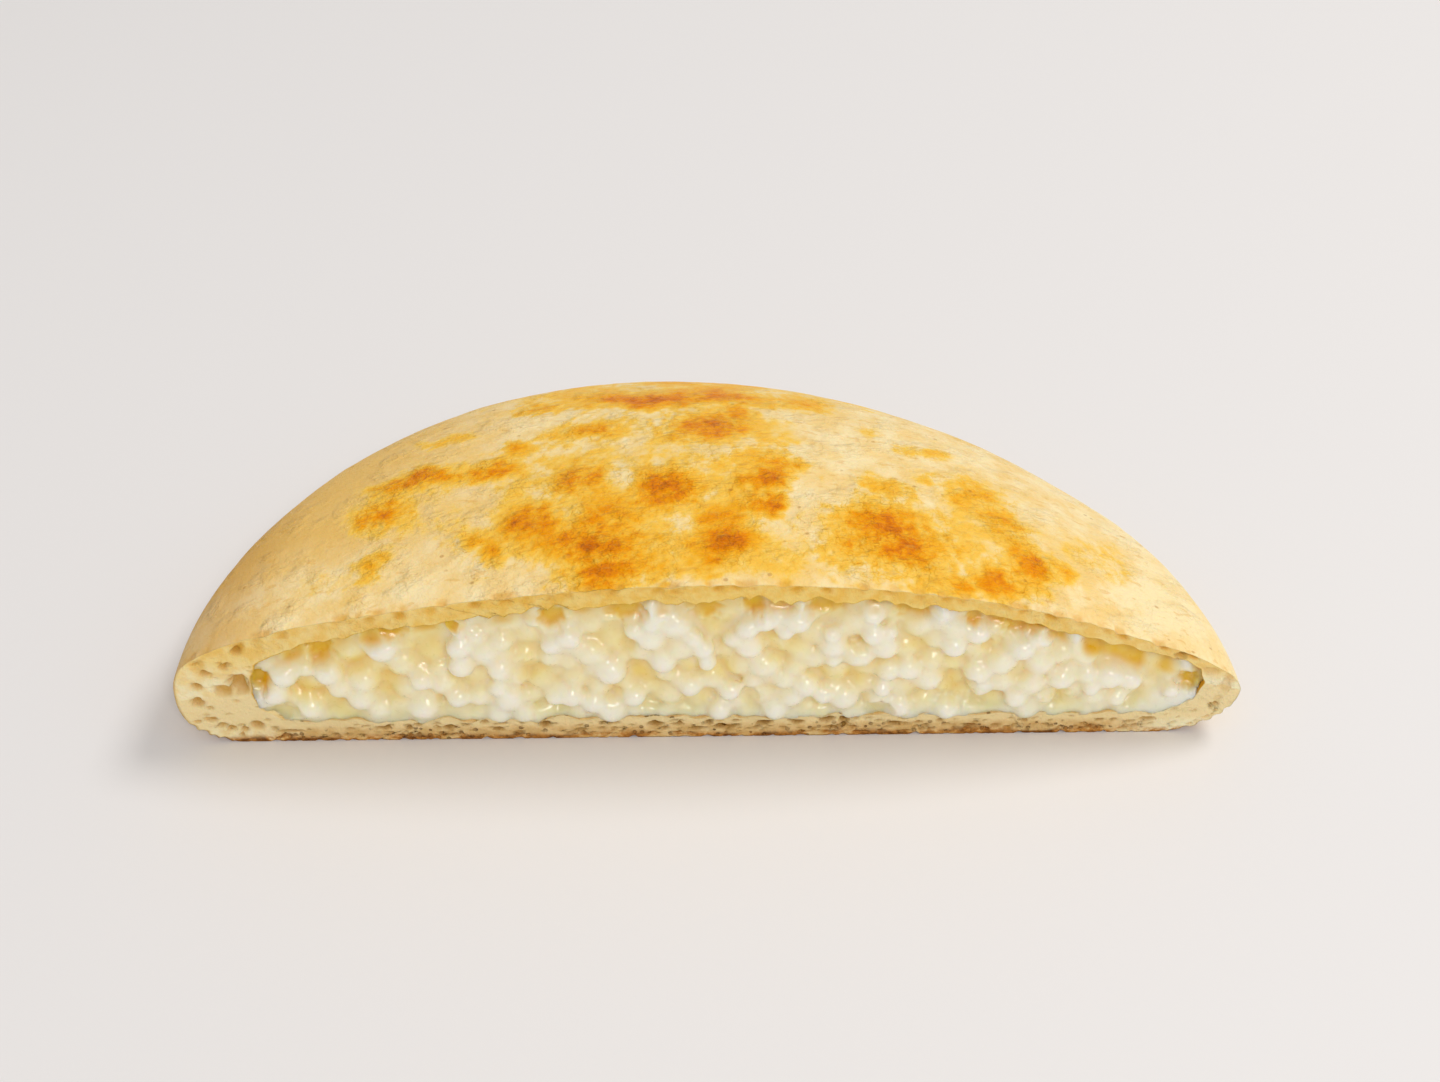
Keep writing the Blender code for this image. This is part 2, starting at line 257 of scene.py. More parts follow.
# Broad fields where the skin only turned golden.
GOLDEN_FIELDS = (
    Spot(-4, 14, 38, 26, 0.95),
    Spot(2, 38, 30, 40, 0.95),
    Spot(-20, 24, 50, 40, 0.70),
    Spot(-4, 67, 76, 30, 1.00),
    Spot(27, 13, 26, 22, 0.45),
    Spot(45, 15, 26, 34, 0.45),
    Spot(30, 3, 36, 9, 0.45),
    Spot(11, 5, 26, 15, 0.62),
    Spot(-34, 22, 22, 20, 0.40),
    Spot(61, 18.5, 15, 16, 0.65),
    Spot(-46, 30, 30, 32, 0.50),
    Spot(-60, 9, 12, 8, 0.45),
)

# Bites out of the cut's outer edge at both ends: place, size and depth in millimetres.
EDGE_BITES = (
    (-78.9, 3.1, 0.9, 0.35), (-77.4, 1.8, 1.1, 0.65), (-76.1, 0.8, 0.8, 0.35), (-74.6, 0.3, 1.0, 0.45),
    (80.2, 10.9, 1.0, 0.35), (80.0, 5.8, 0.9, 0.40), (78.8, 4.2, 1.0, 0.50), (77.2, 2.8, 0.9, 0.40),
    (75.2, 1.4, 1.1, 0.50), (72.8, 0.3, 1.0, 0.40),
)

# How fine the mesh is along the skin and across the cut face.
SKIN_STEP, CUT_STEPS = 0.42 * MM, 30

# Heights of the skin's low relief by the size of its waves, and the grain of a browned blister, which stands
# as much higher than the skin around it.
RELIEF = {9 * MM: 0.14 * MM, 3.6 * MM: 0.12 * MM, 1.5 * MM: 0.09 * MM}
BLISTER_GRAIN, BLISTER_RISE = 0.10 * MM, 0.10 * MM

# The cut's outer edge: how rounded and ragged it is and how far back that reaches, the notches in its foot,
# and how little of all that wears the two tips.
EDGE_ROUNDING, EDGE_RAGGEDNESS, EDGE_REACH = 0.12 * MM, 0.9 * MM, 1.0 * MM
NOTCH_HEIGHT, TIP_KEPT = 0.9 * MM, 0.75

# A seam runs through the crumb of the top crust: its place and width as shares of the crust's thickness.
SEAM_PLACE, SEAM_WIDTH, SEAM_DEPTH, CRUMB_ROUGHNESS = 0.28, 0.18, 0.5 * MM, 0.2 * MM

# The torn inner edge: its arches, where it sags near the right end, how far along and back it is torn, how
# it laps over both ends of the filling, and the waves of the floor under it.
SCALLOP_WIDTH, SCALLOP_HEIGHT, SCALLOP_MIDDLE = 3.0 * MM, 1.9 * MM, 0.35
SAG, SAG_PLACE, SAG_INNER, SAG_OUTER = 1.1 * MM, 58 * MM, 6 * MM, 18 * MM
TORN_HALF_WIDTH, TORN_DEPTH = 70 * MM, 2.5 * MM
END_START, END_LAP = 0.975, 1.0 * MM
CEILING_WAVE, FLOOR_WAVE = 0.25 * MM, 1.3 * MM

# How far the edges of the browned spots wander, by the size of the waves.
WANDERING = {7 * MM: 2.4 * MM, 2.8 * MM: 1.3 * MM, 1.1 * MM: 0.5 * MM}
PORE_COUNT, PORE_SEED = 300, 11


def spread(spots, points, inner, outer):
    """How strongly a set of spots marks each point seen from above, with wandering, ragged edges."""
    plan = points * (1, 1, 0)
    x, y = points[:, 0], points[:, 1]
    for size, wander in WANDERING.items():
        x = x + wander * ripple(plan, size, 1.0)
        y = y + wander * ripple(plan, size, 5.0)
    ragged = 1 + 0.3 * ripple(plan, 1.3 * MM, 9.0)
    strength = np.zeros(len(points))
    for spot in spots:
        distance = np.hypot((x / MM - spot.x) / (spot.width / 2), (y / MM - spot.y) / (spot.depth / 2))
        strength = np.maximum(strength, spot.strength * fall(distance * ragged, inner, outer))
    return strength


def dent(points, holes, inner=0.3, outer=1.25):
    """How far each point of the cut face is pushed back by the holes, and how much of a hole it lies in."""
    push, inside = np.zeros(len(points)), np.zeros(len(points))
    ragged = 1 + 0.35 * ripple(points * (1, 0, 1), 0.9 * MM, 2.0)
    for hole in holes:
        along = (points[:, 0] / MM - hole.x) / (hole.width / 2)
        above = (points[:, 2] / MM - hole.z) / (hole.height / 2)
        bowl = fall(np.hypot(along, above) * ragged, inner, outer)
        push = np.maximum(push, hole.depth * MM * bowl)
        inside = np.maximum(inside, bowl * min(hole.depth, 1))
    return push, inside


def pores():
    """Small round pores, most of them low in the base crust and in the two ends."""
    draw = random.Random(PORE_SEED)
    found = []
    for _ in range(PORE_COUNT):
        x = draw.uniform(-78, 78)
        if abs(x) < 66:
            z = 0.7 + 2.8 * draw.random() ** 1.8
            width = draw.uniform(0.3, 1.2)
        else:
            z = draw.uniform(1, 16 if x < 0 else 5)
            width = draw.uniform(0.4, 1.2)
        found.append(Hole(x, z, width, width * draw.uniform(0.45, 0.8), draw.uniform(0.4, 1.0)))
    return found


# Points lie closest at the two ends of the cut, where the steam holes are.
around = angles_round(LOAF, [
    (0, 0.25 * MM), (8, 0.3 * MM), (16, SKIN_STEP), (160, SKIN_STEP), (170, 0.26 * MM), (195, 0.26 * MM),
    (205, 0.4 * MM), (225, 0.48 * MM), (320, 0.48 * MM), (350, 0.4 * MM), (360, 0.25 * MM),
])
n_around = len(around)
sideways, upwards = np.cos(around), np.sin(around)
skin_back = growing(0.12 * MM, 1.15, 1.22 * MM, LOAF.depth - 0.6 * MM)
skin = rings(LOAF, around, skin_back)
ceiling_back = growing(0.3 * MM, 1.6, 12 * MM, ROOM.depth - 1 * MM)
room = rings(ROOM, around, ceiling_back)

# The torn inner edge of the top crust hangs down in points between small arches.
room_front = room[0].copy()
hanging = np.clip(upwards, 0, 1) * (np.abs(room_front[:, 0] - ROOM.middle) < TORN_HALF_WIDTH)
arches = np.abs(ripple(columns(room_front[:, 0], 0, 0), SCALLOP_WIDTH, 3.3))
sag = SAG * fall(np.abs(room_front[:, 0] - SAG_PLACE), SAG_INNER, SAG_OUTER)
at_end = np.clip((np.abs(sideways) - END_START) / (1 - END_START), 0, 1) ** 0.5 * np.sign(sideways)
on_ceiling, on_floor = np.clip(upwards * 3, 0, 1), np.clip(-upwards * 3, 0, 1)
for row, back in zip(room, ceiling_back):
    fade = math.exp(-back / TORN_DEPTH)
    row[:, 2] += SCALLOP_HEIGHT * (arches - SCALLOP_MIDDLE) * hanging * fade
    row[:, 2] -= sag * hanging * fade
    row[:, 2] += CEILING_WAVE * ripple(row, 1.8 * MM, 6.0) * on_ceiling
    row[:, 2] += FLOOR_WAVE * ripple(row * (1, 0, 0), 3.5 * MM, 6.0) * on_floor * fade
    row[:, 0] -= END_LAP * at_end * (1 + 0.5 * ripple(row, 2 * MM, 4.0)) * fade

cut_rows = []
for step in range(1, CUT_STEPS):
    share = step / CUT_STEPS
    cut_rows.append(skin[0] * (1 - share) + room[0] * share)

skin_pole = form_points(LOAF, np.array([0.0]), np.array([1.0]), np.array([0.0]))
room_pole = form_points(ROOM, np.array([0.0]), np.array([1.0]), np.array([0.0]))
rows = [skin[row] for row in range(len(skin) - 1, -1, -1)] + cut_rows + [row for row in room]
points = np.concatenate(rows + [skin_pole, room_pole])
n_skin, n_cut = len(skin), len(cut_rows)
row_of = np.concatenate([np.repeat(np.arange(len(rows)), n_around), [0, len(rows) - 1]])
is_skin = row_of < n_skin
is_cut = (row_of >= n_skin) & (row_of < n_skin + n_cut)
is_room = row_of >= n_skin + n_cut

faces = band_faces(0, len(rows) - 1, n_around)
last = (len(rows) - 1) * n_around
for step in range(n_around):
    after = (step + 1) % n_around
    faces.append((len(points) - 2, after, step))
    faces.append((len(points) - 1, last + step, last + after))

crust_mesh = bpy.data.meshes.new("bread_crust_baked")
crust_mesh.from_pydata(points.tolist(), [], faces)
crust_mesh.update()


def normals_of(mesh):
    """Which way the surface faces at each point of a mesh."""
    found = np.empty(len(mesh.vertices) * 3, np.float32)
    mesh.vertices.foreach_get("normal", found)
    return found.reshape(-1, 3).astype(float)


outward = normals_of(crust_mesh)
if outward[np.argmax(points[:, 2])][2] < 0:
    crust_mesh.flip_normals()
    outward = -outward

# The skin's edge at the cut faces the way the skin does.
edge_row = slice((n_skin - 1) * n_around, n_skin * n_around)
outward[edge_row] = outward[(n_skin - 3) * n_around : (n_skin - 2) * n_around]

# Low relief of the skin: all of it is pressed in from the loaf's form, so nothing stands out of it.
top_side = is_skin & (points[:, 2] > 4 * MM)
browned = spread(BLISTERS, points, 0.0, 1.5) * top_side
haze = spread(BLISTERS, points, 0.5, 2.4) * top_side
golden = spread(GOLDEN_FIELDS, points, 0.2, 1.3) * top_side
sink = np.zeros(len(points))
for size, height in RELIEF.items():
    sink += height * (0.5 - 0.5 * ripple(points, size, 1.7))
sink += BLISTER_GRAIN * browned * (0.5 - 0.5 * ripple(points, 0.9 * MM, 5.0))
sink += BLISTER_RISE * (1 - browned) * top_side
near_cut = np.exp(-points[:, 1] / EDGE_REACH)
ragged_edge = np.clip(ripple(columns(points[:, 0], 0, points[:, 2]), 2.1 * MM, 8.0) - 0.05, 0, 1)
ragged_edge *= fall(np.abs(points[:, 0]), LOAF.half_width - 6 * MM, LOAF.half_width - 2 * MM)
sink += near_cut * (EDGE_ROUNDING + EDGE_RAGGEDNESS * ragged_edge * (points[:, 2] > 3 * MM))
chipped = np.where(is_skin, fall(points[:, 1], 0.5 * MM, 1.6 * MM) * np.clip(ragged_edge * 4, 0, 1), 0)
sink *= 1 - TIP_KEPT * fall(LOAF.half_width - np.abs(points[:, 0]), 0.8 * MM, 5 * MM)
for bite_x, bite_z, bite_size, bite_depth in EDGE_BITES:
    reach = np.hypot(points[:, 0] / MM - bite_x, points[:, 2] / MM - bite_z)
    sink += bite_depth * MM * fall(reach, 0.2, bite_size) * fall(points[:, 1], 0.3 * MM, 1.6 * MM)
flat_base = is_skin & (points[:, 2] < 0.05 * MM)
along_cut = columns(points[:, 0], 0, 0)
notched = np.clip(ripple(along_cut, 1.6 * MM, 12.0) + 0.4 * ripple(along_cut, 0.6 * MM, 2.0), 0, 1)
sink[flat_base] = (near_cut * NOTCH_HEIGHT * notched)[flat_base]
points = points - outward * np.where(is_skin, sink, 0)[:, None]

# The crumb of the cut: a rough face with steam holes and fine pores.
outer_edge = points[edge_row]
inner_edge = points[(n_skin + n_cut) * n_around : (n_skin + n_cut + 1) * n_around]
inwards = np.repeat(np.arange(1, CUT_STEPS) / CUT_STEPS, n_around)
share = inwards[:, None]
points[is_cut] = np.tile(outer_edge, (n_cut, 1)) * (1 - share) + np.tile(inner_edge, (n_cut, 1)) * share
cut_points = points[is_cut]
lip = np.clip(np.minimum(inwards, 1 - inwards) * 7, 0, 1)
hole_push, in_hole = dent(cut_points, STEAM_HOLES, 0.5, 1.2)
pore_push, in_pore = dent(cut_points, pores(), 0.5, 1.15)
rough = 0.5 + 0.3 * ripple(cut_points * (0.8, 1, 1), 1.5 * MM, 3.0) + 0.2 * ripple(cut_points, 0.8 * MM, 3.0)
upward = np.concatenate([np.tile(upwards, len(rows)), [0, 0]])
seam = np.exp(-(((inwards - SEAM_PLACE) / SEAM_WIDTH) ** 2)) * (1 - fall(upward[is_cut], 0.05, 0.25))
seam *= np.clip(0.1 + 2.6 * ripple(cut_points * (1, 0, 0), 2.2 * MM, 15.0), 0, 1)
pushed = hole_push + pore_push * (1 - in_hole) + SEAM_DEPTH * seam + CRUMB_ROUGHNESS * rough
points[is_cut, 1] += pushed * lip
# How much of a hole each point lies in, for the painted shade inside the holes.
pitted = np.zeros(len(points))
pitted[is_cut] = np.maximum(in_hole, 0.8 * in_pore)
seamed = np.zeros(len(points))
seamed[is_cut] = seam

# Laid into the box of the solid crust.
crust_low = Vector(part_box("bread_crust")[0])
form_low_x = form_points(LOAF, np.array([-1.0]), np.array([0.0]), np.array([0.0]))[0, 0]
cut_middle = Vector((crust_low.x - form_low_x, crust_low.y, crust_low.z))
points += np.array(cut_middle)
crust_mesh.vertices.foreach_set("co", points.astype(np.float32).ravel())
crust_mesh.update()


def paint(mesh, name, values):
    """Keeps one number for each point of a mesh, for its finish."""
    attribute = mesh.attributes.new(name, "FLOAT", "POINT")
    attribute.data.foreach_set("value", np.asarray(values, np.float32))


local = points - np.array(cut_middle)
x, y, z = local.T
scorch_height = np.maximum((1.5 + 1.4 * ripple(local * (1, 0, 0), 9 * MM, 3.0)) * MM, 0.7 * MM)
toasted_skin = np.where(is_skin, fall(z, 0.2 * MM, 2.6 * MM), 0)
toasted_crumb = np.where(is_cut, fall(z, 0.3 * MM, scorch_height), 0)
roof_share = 0.8 + 0.2 * fall(np.abs(x), 25 * MM, 60 * MM)
foot_share = fall(z, 3.6 * MM, 6.5 * MM) * fall(np.abs(x), 60 * MM, 72 * MM)
for name, values in {
    "browned": browned,
    "haze": haze,
    "golden": golden,
    # Painted shade over the back of the left end, with some warmer tone of its own.
    "warm": fall(x, -60 * MM, -20 * MM) * (1 - fall(y, 6 * MM, 24 * MM)),
    # Painted shade on the flank of the left rim, which turns away from the lamps.
    "rim": fall(x, -75 * MM, -61 * MM),
    # Paler right end: partly its own paler skin and crumb, partly painted light from the lamp on that side.
    "creamy": fall(LOAF.half_width - x, 6 * MM, 26 * MM),
    "chipped": chipped,
    "toasted": np.maximum(toasted_skin, toasted_crumb),
    "crumb": np.where(is_skin, 0.0, 1.0),
    "roof": np.where(is_skin, 0, (1 - fall(upward, 0.05, 0.3)) * roof_share),
    "foot": np.where(is_skin, 0, foot_share),
    # Painted golden shade on the walls of the filling's room, seen deep in the gap under the top crust.
    "inside": np.where(is_room, 1 - fall(z, 6 * MM, 9 * MM), 0),
    "milky": np.where(is_cut & (upward < 0), fall(ROOM.floor - z, 0.8 * MM, 2.4 * MM), 0),
    "seam": seamed,
    "pitted": pitted,
}.items():
    paint(crust_mesh, name, values)
crust_mesh.polygons.foreach_set("use_smooth", np.ones(len(crust_mesh.polygons), bool))
crust = bpy.data.objects.new("bread_crust_baked", crust_mesh)
bpy.context.scene.collection.objects.link(crust)


def srgb(red, green, blue):
    """A colour as seen on a screen, from 0 to 255, as the shader's linear one."""
    def linear(part):
        part /= 255
        return part / 12.92 if part <= 0.04045 else ((part + 0.055) / 1.055) ** 2.4
    return (linear(red), linear(green), linear(blue), 1)


class Wire:
    """A value in a material's node tree, so that a finish can be written as sums, such as 1 - mask * 0.5."""

    def __init__(self, tree, socket):
        self.tree = tree
        self.socket = socket

    def add(self, kind, settings=None, inputs=None, output=0):
        """Adds a node of a kind: its settings first, then the values or wires of its sockets."""
        node = self.tree.nodes.new(kind)
        for name, setting in (settings or {}).items():
            if name == "stops":
                for _ in range(len(setting) - 2):
                    node.color_ramp.elements.new(0.5)
                for element, (position, colour) in zip(node.color_ramp.elements, setting):
                    element.position = position
                    element.color = colour
            else:
                setattr(node, name, setting)
        for name, value in (inputs or {}).items():
            if isinstance(value, Wire):
                self.tree.links.new(value.socket, node.inputs[name])
            else:
                node.inputs[name].default_value = value
        return Wire(self.tree, node.outputs[output])

    def maths(self, operation, first, second=0.0):
        return self.add("ShaderNodeMath", {"operation": operation}, {0: first, 1: second})

    def __add__(self, other):
        return self.maths("ADD", self, other)

    def __radd__(self, other):
        return self.maths("ADD", other, self)

    def __sub__(self, other):
        return self.maths("SUBTRACT", self, other)

    def __rsub__(self, other):
        return self.maths("SUBTRACT", other, self)

    def __mul__(self, other):
        return self.maths("MULTIPLY", self, other)

    def __rmul__(self, other):
        return self.maths("MULTIPLY", other, self)

    def size(self):
        """The value without its sign."""
        return self.maths("ABSOLUTE", self)

    def between(self, low, high):
        """0 below the low value, 1 above the high one, and smooth between them."""
        return self.add(
            "ShaderNodeMapRange",
            {"interpolation_type": "SMOOTHSTEP", "clamp": True},
            {"Value": self, "From Min": low, "From Max": high},
        )

    def colour(self, *stops):
        """A colour read off a ramp of (position, colour) stops."""
        return self.add("ShaderNodeValToRGB", {"stops": stops}, {"Fac": self})

    def mix(self, first, second):
        """A colour mixed from two others, with this value as the share of the second."""
        settings = {"data_type": "RGBA", "clamp_factor": True}
        return self.add("ShaderNodeMix", settings, {0: self, 6: first, 7: second}, output=2)


class Finish:
    """A material of the pie: what its surface can be worked out from, and the shader that it ends in."""

    def __init__(self, name):
        self.material = bpy.data.materials.new(name)
        self.material.use_nodes = True
        self.tree = self.material.node_tree
        self.shader = self.tree.nodes["Principled BSDF"]
        self.start = Wire(self.tree, self.shader.outputs[0])
        self.place = self.start.add("ShaderNodeTexCoord", output=3)

    def painted(self, *names):
        """The numbers that the mesh keeps under these names."""
        return [self.start.add("ShaderNodeAttribute", {"attribute_name": name}, output=2) for name in names]

    def grain(self, size, detail=2.0, roughness=0.5, stretch=(1, 1, 1), shift=0.0):
        """Cloudy noise from 0 to 1, with lumps of about this size in metres."""
        place = self.start.add(
            "ShaderNodeMapping",
            {},
            {"Vector": self.place, "Scale": stretch, "Location": (shift, shift, shift)},
        )
        inputs = {"Vector": place, "Scale": 1 / size, "Detail": detail, "Roughness": roughness}
        return self.start.add("ShaderNodeTexNoise", {}, inputs)

    def cells(self, size):
        """Distance to the nearest of many scattered points, one in about each cell of this size."""
        return self.start.add("ShaderNodeTexVoronoi", {}, {"Vector": self.place, "Scale": 1 / size})

    def bump(self, height, distance, strength):
        """Relief too fine for the mesh, from a height of 0 to 1 that stands for this distance."""
        inputs = {"Height": height, "Distance": distance, "Strength": strength}
        return self.start.add("ShaderNodeBump", {}, inputs)

    def set(self, **sockets):
        """Fills sockets of the shader, named with _ for a space."""
        for name, value in sockets.items():
            socket = self.shader.inputs[name.replace("_", " ")]
            if isinstance(value, Wire):
                self.tree.links.new(value.socket, socket)
            else:
                socket.default_value = value
        return self.material


def baked_bread():
    """Floury pale skin that browns over blisters, with an open crumb at the cut and a toasted underside."""
    finish = Finish("baked bread")
    browned, haze, golden = finish.painted("browned", "haze", "golden")
    warm, rim, creamy, chipped, toasted = finish.painted("warm", "rim", "creamy", "chipped", "toasted")
    crumb, roof, foot, inside = finish.painted("crumb", "roof", "foot", "inside")
    milky, seam, pitted = finish.painted("milky", "seam", "pitted")

    # The floury skin, warmer and darker towards the back of the left end, partly its own golden tone and
    # partly painted shade of the side turned away from the lamps, and darker still with painted shade on the
    # left rim's flank.
    along_y, across_x = (1, 0.75, 1), (0.5, 1, 1)
    mottle = finish.grain(3 * MM, detail=5, roughness=0.65, stretch=along_y).between(0.28, 0.72)
    patches = finish.grain(8 * MM, detail=5, roughness=0.62, stretch=along_y, shift=0.31).between(0.3, 0.7)
    clouds = finish.grain(20 * MM, detail=2, shift=0.12)
    flour = finish.grain(5 * MM, detail=4, roughness=0.6, stretch=along_y, shift=0.53)
    pale = (0.30 + clouds).between(0.35, 0.95).mix(srgb(240, 196, 102), srgb(246, 212, 142))
    # Paler towards the right end: its own paler skin, with painted light from the lamp on that side.
    skin = (flour.between(0.34, 0.68) + creamy * 0.35).mix(pale, srgb(251, 229, 176))
    skin = (warm * 0.9).mix(skin, srgb(234, 188, 100))
    # Painted shade on the left rim's flank.
    skin = (rim * 0.55).mix(skin, srgb(204, 150, 66))

    # Golden and browned patches, with fine veins, strokes and dark specks.
    meander = finish.grain(2.6 * MM, detail=2, roughness=0.55, stretch=along_y, shift=0.66)
    veins = (meander - 0.5).size().between(0.03, 0.0)
    grain = finish.grain(1.0 * MM, detail=3, roughness=0.6, stretch=along_y, shift=0.6)
    heat = golden * (0.07 + 0.44 * patches) + haze * (0.13 + 0.28 * mottle) + browned * (0.18 + 0.34 * mottle)
    heat = heat + (grain - 0.5) * (haze * 0.28 + golden * 0.16) + veins * (haze * 0.12 + golden * 0.06)
    baked = heat.colour(
        (0.0, srgb(248, 216, 140)),
        (0.18, srgb(250, 202, 86)),
        (0.38, srgb(248, 180, 40)),
        (0.58, srgb(242, 154, 0)),
        (0.78, srgb(228, 130, 0)),
        (1.0, srgb(202, 104, 0)),
    )
    skin = heat.between(0.02, 0.22).mix(skin, baked)
    strokes = finish.grain(1.5 * MM, detail=3, stretch=across_x, shift=0.7).between(0.61, 0.69)
    skin = (strokes * 0.35).mix(skin, srgb(220, 164, 66))
    skin = (veins * 0.12).mix(skin, srgb(214, 164, 72))
    specks = finish.cells(3.1 * MM).between(0.15, 0.07) * finish.grain(5 * MM, shift=0.77).between(0.50, 0.60)
    skin = (specks * 0.5).mix(skin, srgb(180, 120, 44))
    skin = (chipped * 0.6).mix(skin, srgb(222, 166, 66))

    # The toasted underside.
    toast_mottle = finish.grain(3 * MM, detail=4, roughness=0.65, shift=0.5)
    toast = toast_mottle.colour(
        (0.3, srgb(205, 160, 96)),
        (0.5, srgb(176, 118, 60)),
        (0.7, srgb(128, 76, 36)),
    )
    skin = toasted.mix(skin, toast)

    # The crumb at the cut: pale at the ends, yellower in the top crust and darker, with pores, in the base.
    soft = finish.grain(2.2 * MM, detail=3, shift=0.9)
    cloudy = soft.between(0.35, 0.65)
    roof_colour = cloudy.mix(srgb(251, 217, 130), srgb(246, 200, 98))
    foot_colour = soft.between(0.3, 0.7).mix(srgb(234, 196, 130), srgb(210, 166, 98))
    crumb_colour = cloudy.mix(srgb(255, 240, 194), srgb(251, 224, 162))
    # Painted light on the crumb of the right end, which faces the lamp.
    crumb_colour = (creamy * 0.6).mix(crumb_colour, srgb(255, 246, 208))
    crumb_colour = roof.mix(crumb_colour, roof_colour)
    crumb_colour = (foot * 0.8).mix(crumb_colour, foot_colour)
    # Painted golden shade on the room's walls above the filling, deep in the gap under the top crust.
    crumb_colour = inside.mix(crumb_colour, srgb(226, 172, 52))
    crumb_colour = (milky * 0.9).mix(crumb_colour, srgb(248, 224, 168))
    # Tiny pores of the base crust, painted dark as the shade inside them.
    tiny = (1 - milky) * foot * finish.cells(1.2 * MM).between(0.33, 0.24)
    tiny = tiny * finish.grain(3.5 * MM, shift=0.21).between(0.44, 0.56)
    crumb_colour = (tiny * 0.75).mix(crumb_colour, srgb(120, 78, 30))
    crumb_colour = (seam * 0.85).mix(crumb_colour, srgb(220, 166, 56))
    # Painted shade inside the steam holes and pores, darker still in the base crust's pores.
    crumb_colour = (pitted * 0.8).mix(crumb_colour, srgb(204, 154, 58))
    crumb_colour = (pitted * foot * 0.7).mix(crumb_colour, srgb(136, 94, 40))
    flecks = finish.grain(2.4 * MM, detail=4, roughness=0.7, stretch=across_x, shift=0.33)
    scorch = flecks.colour((0.4, srgb(226, 168, 92)), (0.5, srgb(196, 132, 60)), (0.62, srgb(120, 72, 30)))
    crumb_colour = (toasted * flecks.between(0.38, 0.52)).mix(crumb_colour, scorch)
    colour = crumb.mix(skin, crumb_colour)

    # Wrinkles of the dry skin and the grain of the crumb.
    fine = finish.grain(0.45 * MM, detail=3, roughness=0.6, shift=0.2)
    wrinkles = finish.grain(1.6 * MM, detail=3, roughness=0.55, stretch=(1, 1.4, 1), shift=0.4)
    wrinkled = finish.grain(7 * MM, detail=2, shift=0.84).between(0.45, 0.62)
    folds = wrinkles * (0.35 + 0.9 * wrinkled + haze * 1.1 + golden * 0.4)
    folds = folds - veins * (0.02 + 0.06 * wrinkled + haze * 0.04)
    relief = finish.bump(folds + fine * (0.2 + crumb * 0.3) - tiny * 0.8, 0.6 * MM, 1.0)
    roughness = 0.5 - golden * 0.12 + crumb * 0.25 + (fine - 0.5) * 0.15
    return finish.set(
        Base_Color=colour,
        Roughness=roughness,
        Normal=relief,
        Subsurface_Weight=0.15,
        Subsurface_Radius=(1.0, 0.55, 0.25),
        Subsurface_Scale=1.2 * MM,
        Specular_IOR_Level=0.05,
        Coat_Weight=haze * 0.05,
        Coat_Roughness=0.3,
    )


crust_mesh.materials.append(baked_bread())
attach(crust, "root")
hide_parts("bread_crust")

# The cheese filling: salted white curd, melted in the oven until its grains fused into soft glossy lumps.
# It fills the bread all through, stands a little proud of the knife's cut, and pulled back from the crust
# in places, which leaves deep hollows, painted golden yellow as their shade.
Nugget = namedtuple("Nugget", "x z width height")

# The larger lumps that stand out at the cut, in millimetres.
NUGGETS = (
    Nugget(-65, 8.5, 3, 5), Nugget(-63, 15, 6, 5), Nugget(-60.5, 8, 3.5, 4), Nugget(-56.5, 13.5, 5, 5),
    Nugget(-53.5, 9.5, 5.5, 7), Nugget(-52, 5.5, 4, 3.5), Nugget(-50, 19, 6, 5), Nugget(-48, 16, 3, 3),
    Nugget(-43.5, 13, 5, 5), Nugget(-43.5, 8, 6, 5.5), Nugget(-36.5, 21.5, 4.5, 4), Nugget(-36.5, 16.5, 6, 7),
    Nugget(-31, 16, 5.5, 5.5), Nugget(-31.5, 8.5, 7, 7.5), Nugget(-38.5, 9.5, 5, 4.5),
    Nugget(-21, 18, 7.5, 5.5), Nugget(-17, 13.5, 6.5, 6), Nugget(-22.5, 9.5, 6, 3.5),
    Nugget(-17.5, 7, 4.5, 4.5), Nugget(-13, 7.5, 4, 4.5), Nugget(-9.5, 21, 4, 4.5), Nugget(-5, 20, 5.5, 5),
    Nugget(-8, 16.5, 4.5, 4),
    Nugget(-1, 16.5, 4.5, 5), Nugget(-4.5, 10.5, 5.5, 5), Nugget(2, 9, 4.5, 5.5), Nugget(1.5, 5.5, 5, 4),
    Nugget(5, 20, 4.5, 6.5), Nugget(6.5, 15.5, 4.5, 5), Nugget(8.5, 11.5, 5, 5.5), Nugget(9.5, 8, 4.5, 5.5),
    Nugget(13.5, 8.5, 4, 7), Nugget(9.5, 23, 5, 6.5), Nugget(13, 16.5, 5, 5.5), Nugget(14, 23.5, 4.5, 4),
    Nugget(17.5, 19.5, 4.5, 5), Nugget(20, 16, 5, 4.5), Nugget(18.5, 8.5, 5.5, 6), Nugget(23, 21.5, 4, 5),
    Nugget(26, 18, 4.5, 6), Nugget(26, 10.5, 4.5, 7), Nugget(30.5, 12, 5, 6), Nugget(27.5, 6, 4.5, 3.5),
    Nugget(33.5, 22, 5, 5.5), Nugget(35.5, 17.5, 4.5, 6), Nugget(38, 21, 4, 4.5), Nugget(41.5, 12.5, 6, 7.5),
    Nugget(45, 17.5, 5, 6), Nugget(49, 16.5, 4.5, 6.5), Nugget(54, 17, 4, 4.5), Nugget(47.5, 8, 6.5, 6),
    Nugget(53.5, 12, 5, 5.5), Nugget(58, 10, 6.5, 5.5), Nugget(34.5, 5, 4.5, 3.5), Nugget(48.5, 6, 3, 4.5),
    Nugget(62.5, 8.5, 4.5, 4.5), Nugget(68.5, 8.5, 3, 4.5), Nugget(-8, 24.5, 6, 3.5), Nugget(-26, 23, 4, 3.5),
    Nugget(-15, 5, 6, 3.5), Nugget(1, 4.3, 5.5, 3.5), Nugget(11.3, 5.2, 6.5, 4.5), Nugget(-31, 5.2, 7, 4.5),
    Nugget(-44, 5.3, 7, 4), Nugget(-51, 4.3, 3.5, 3), Nugget(48, 5.3, 4.5, 3.5), Nugget(60, 5.8, 5, 3.5),
)
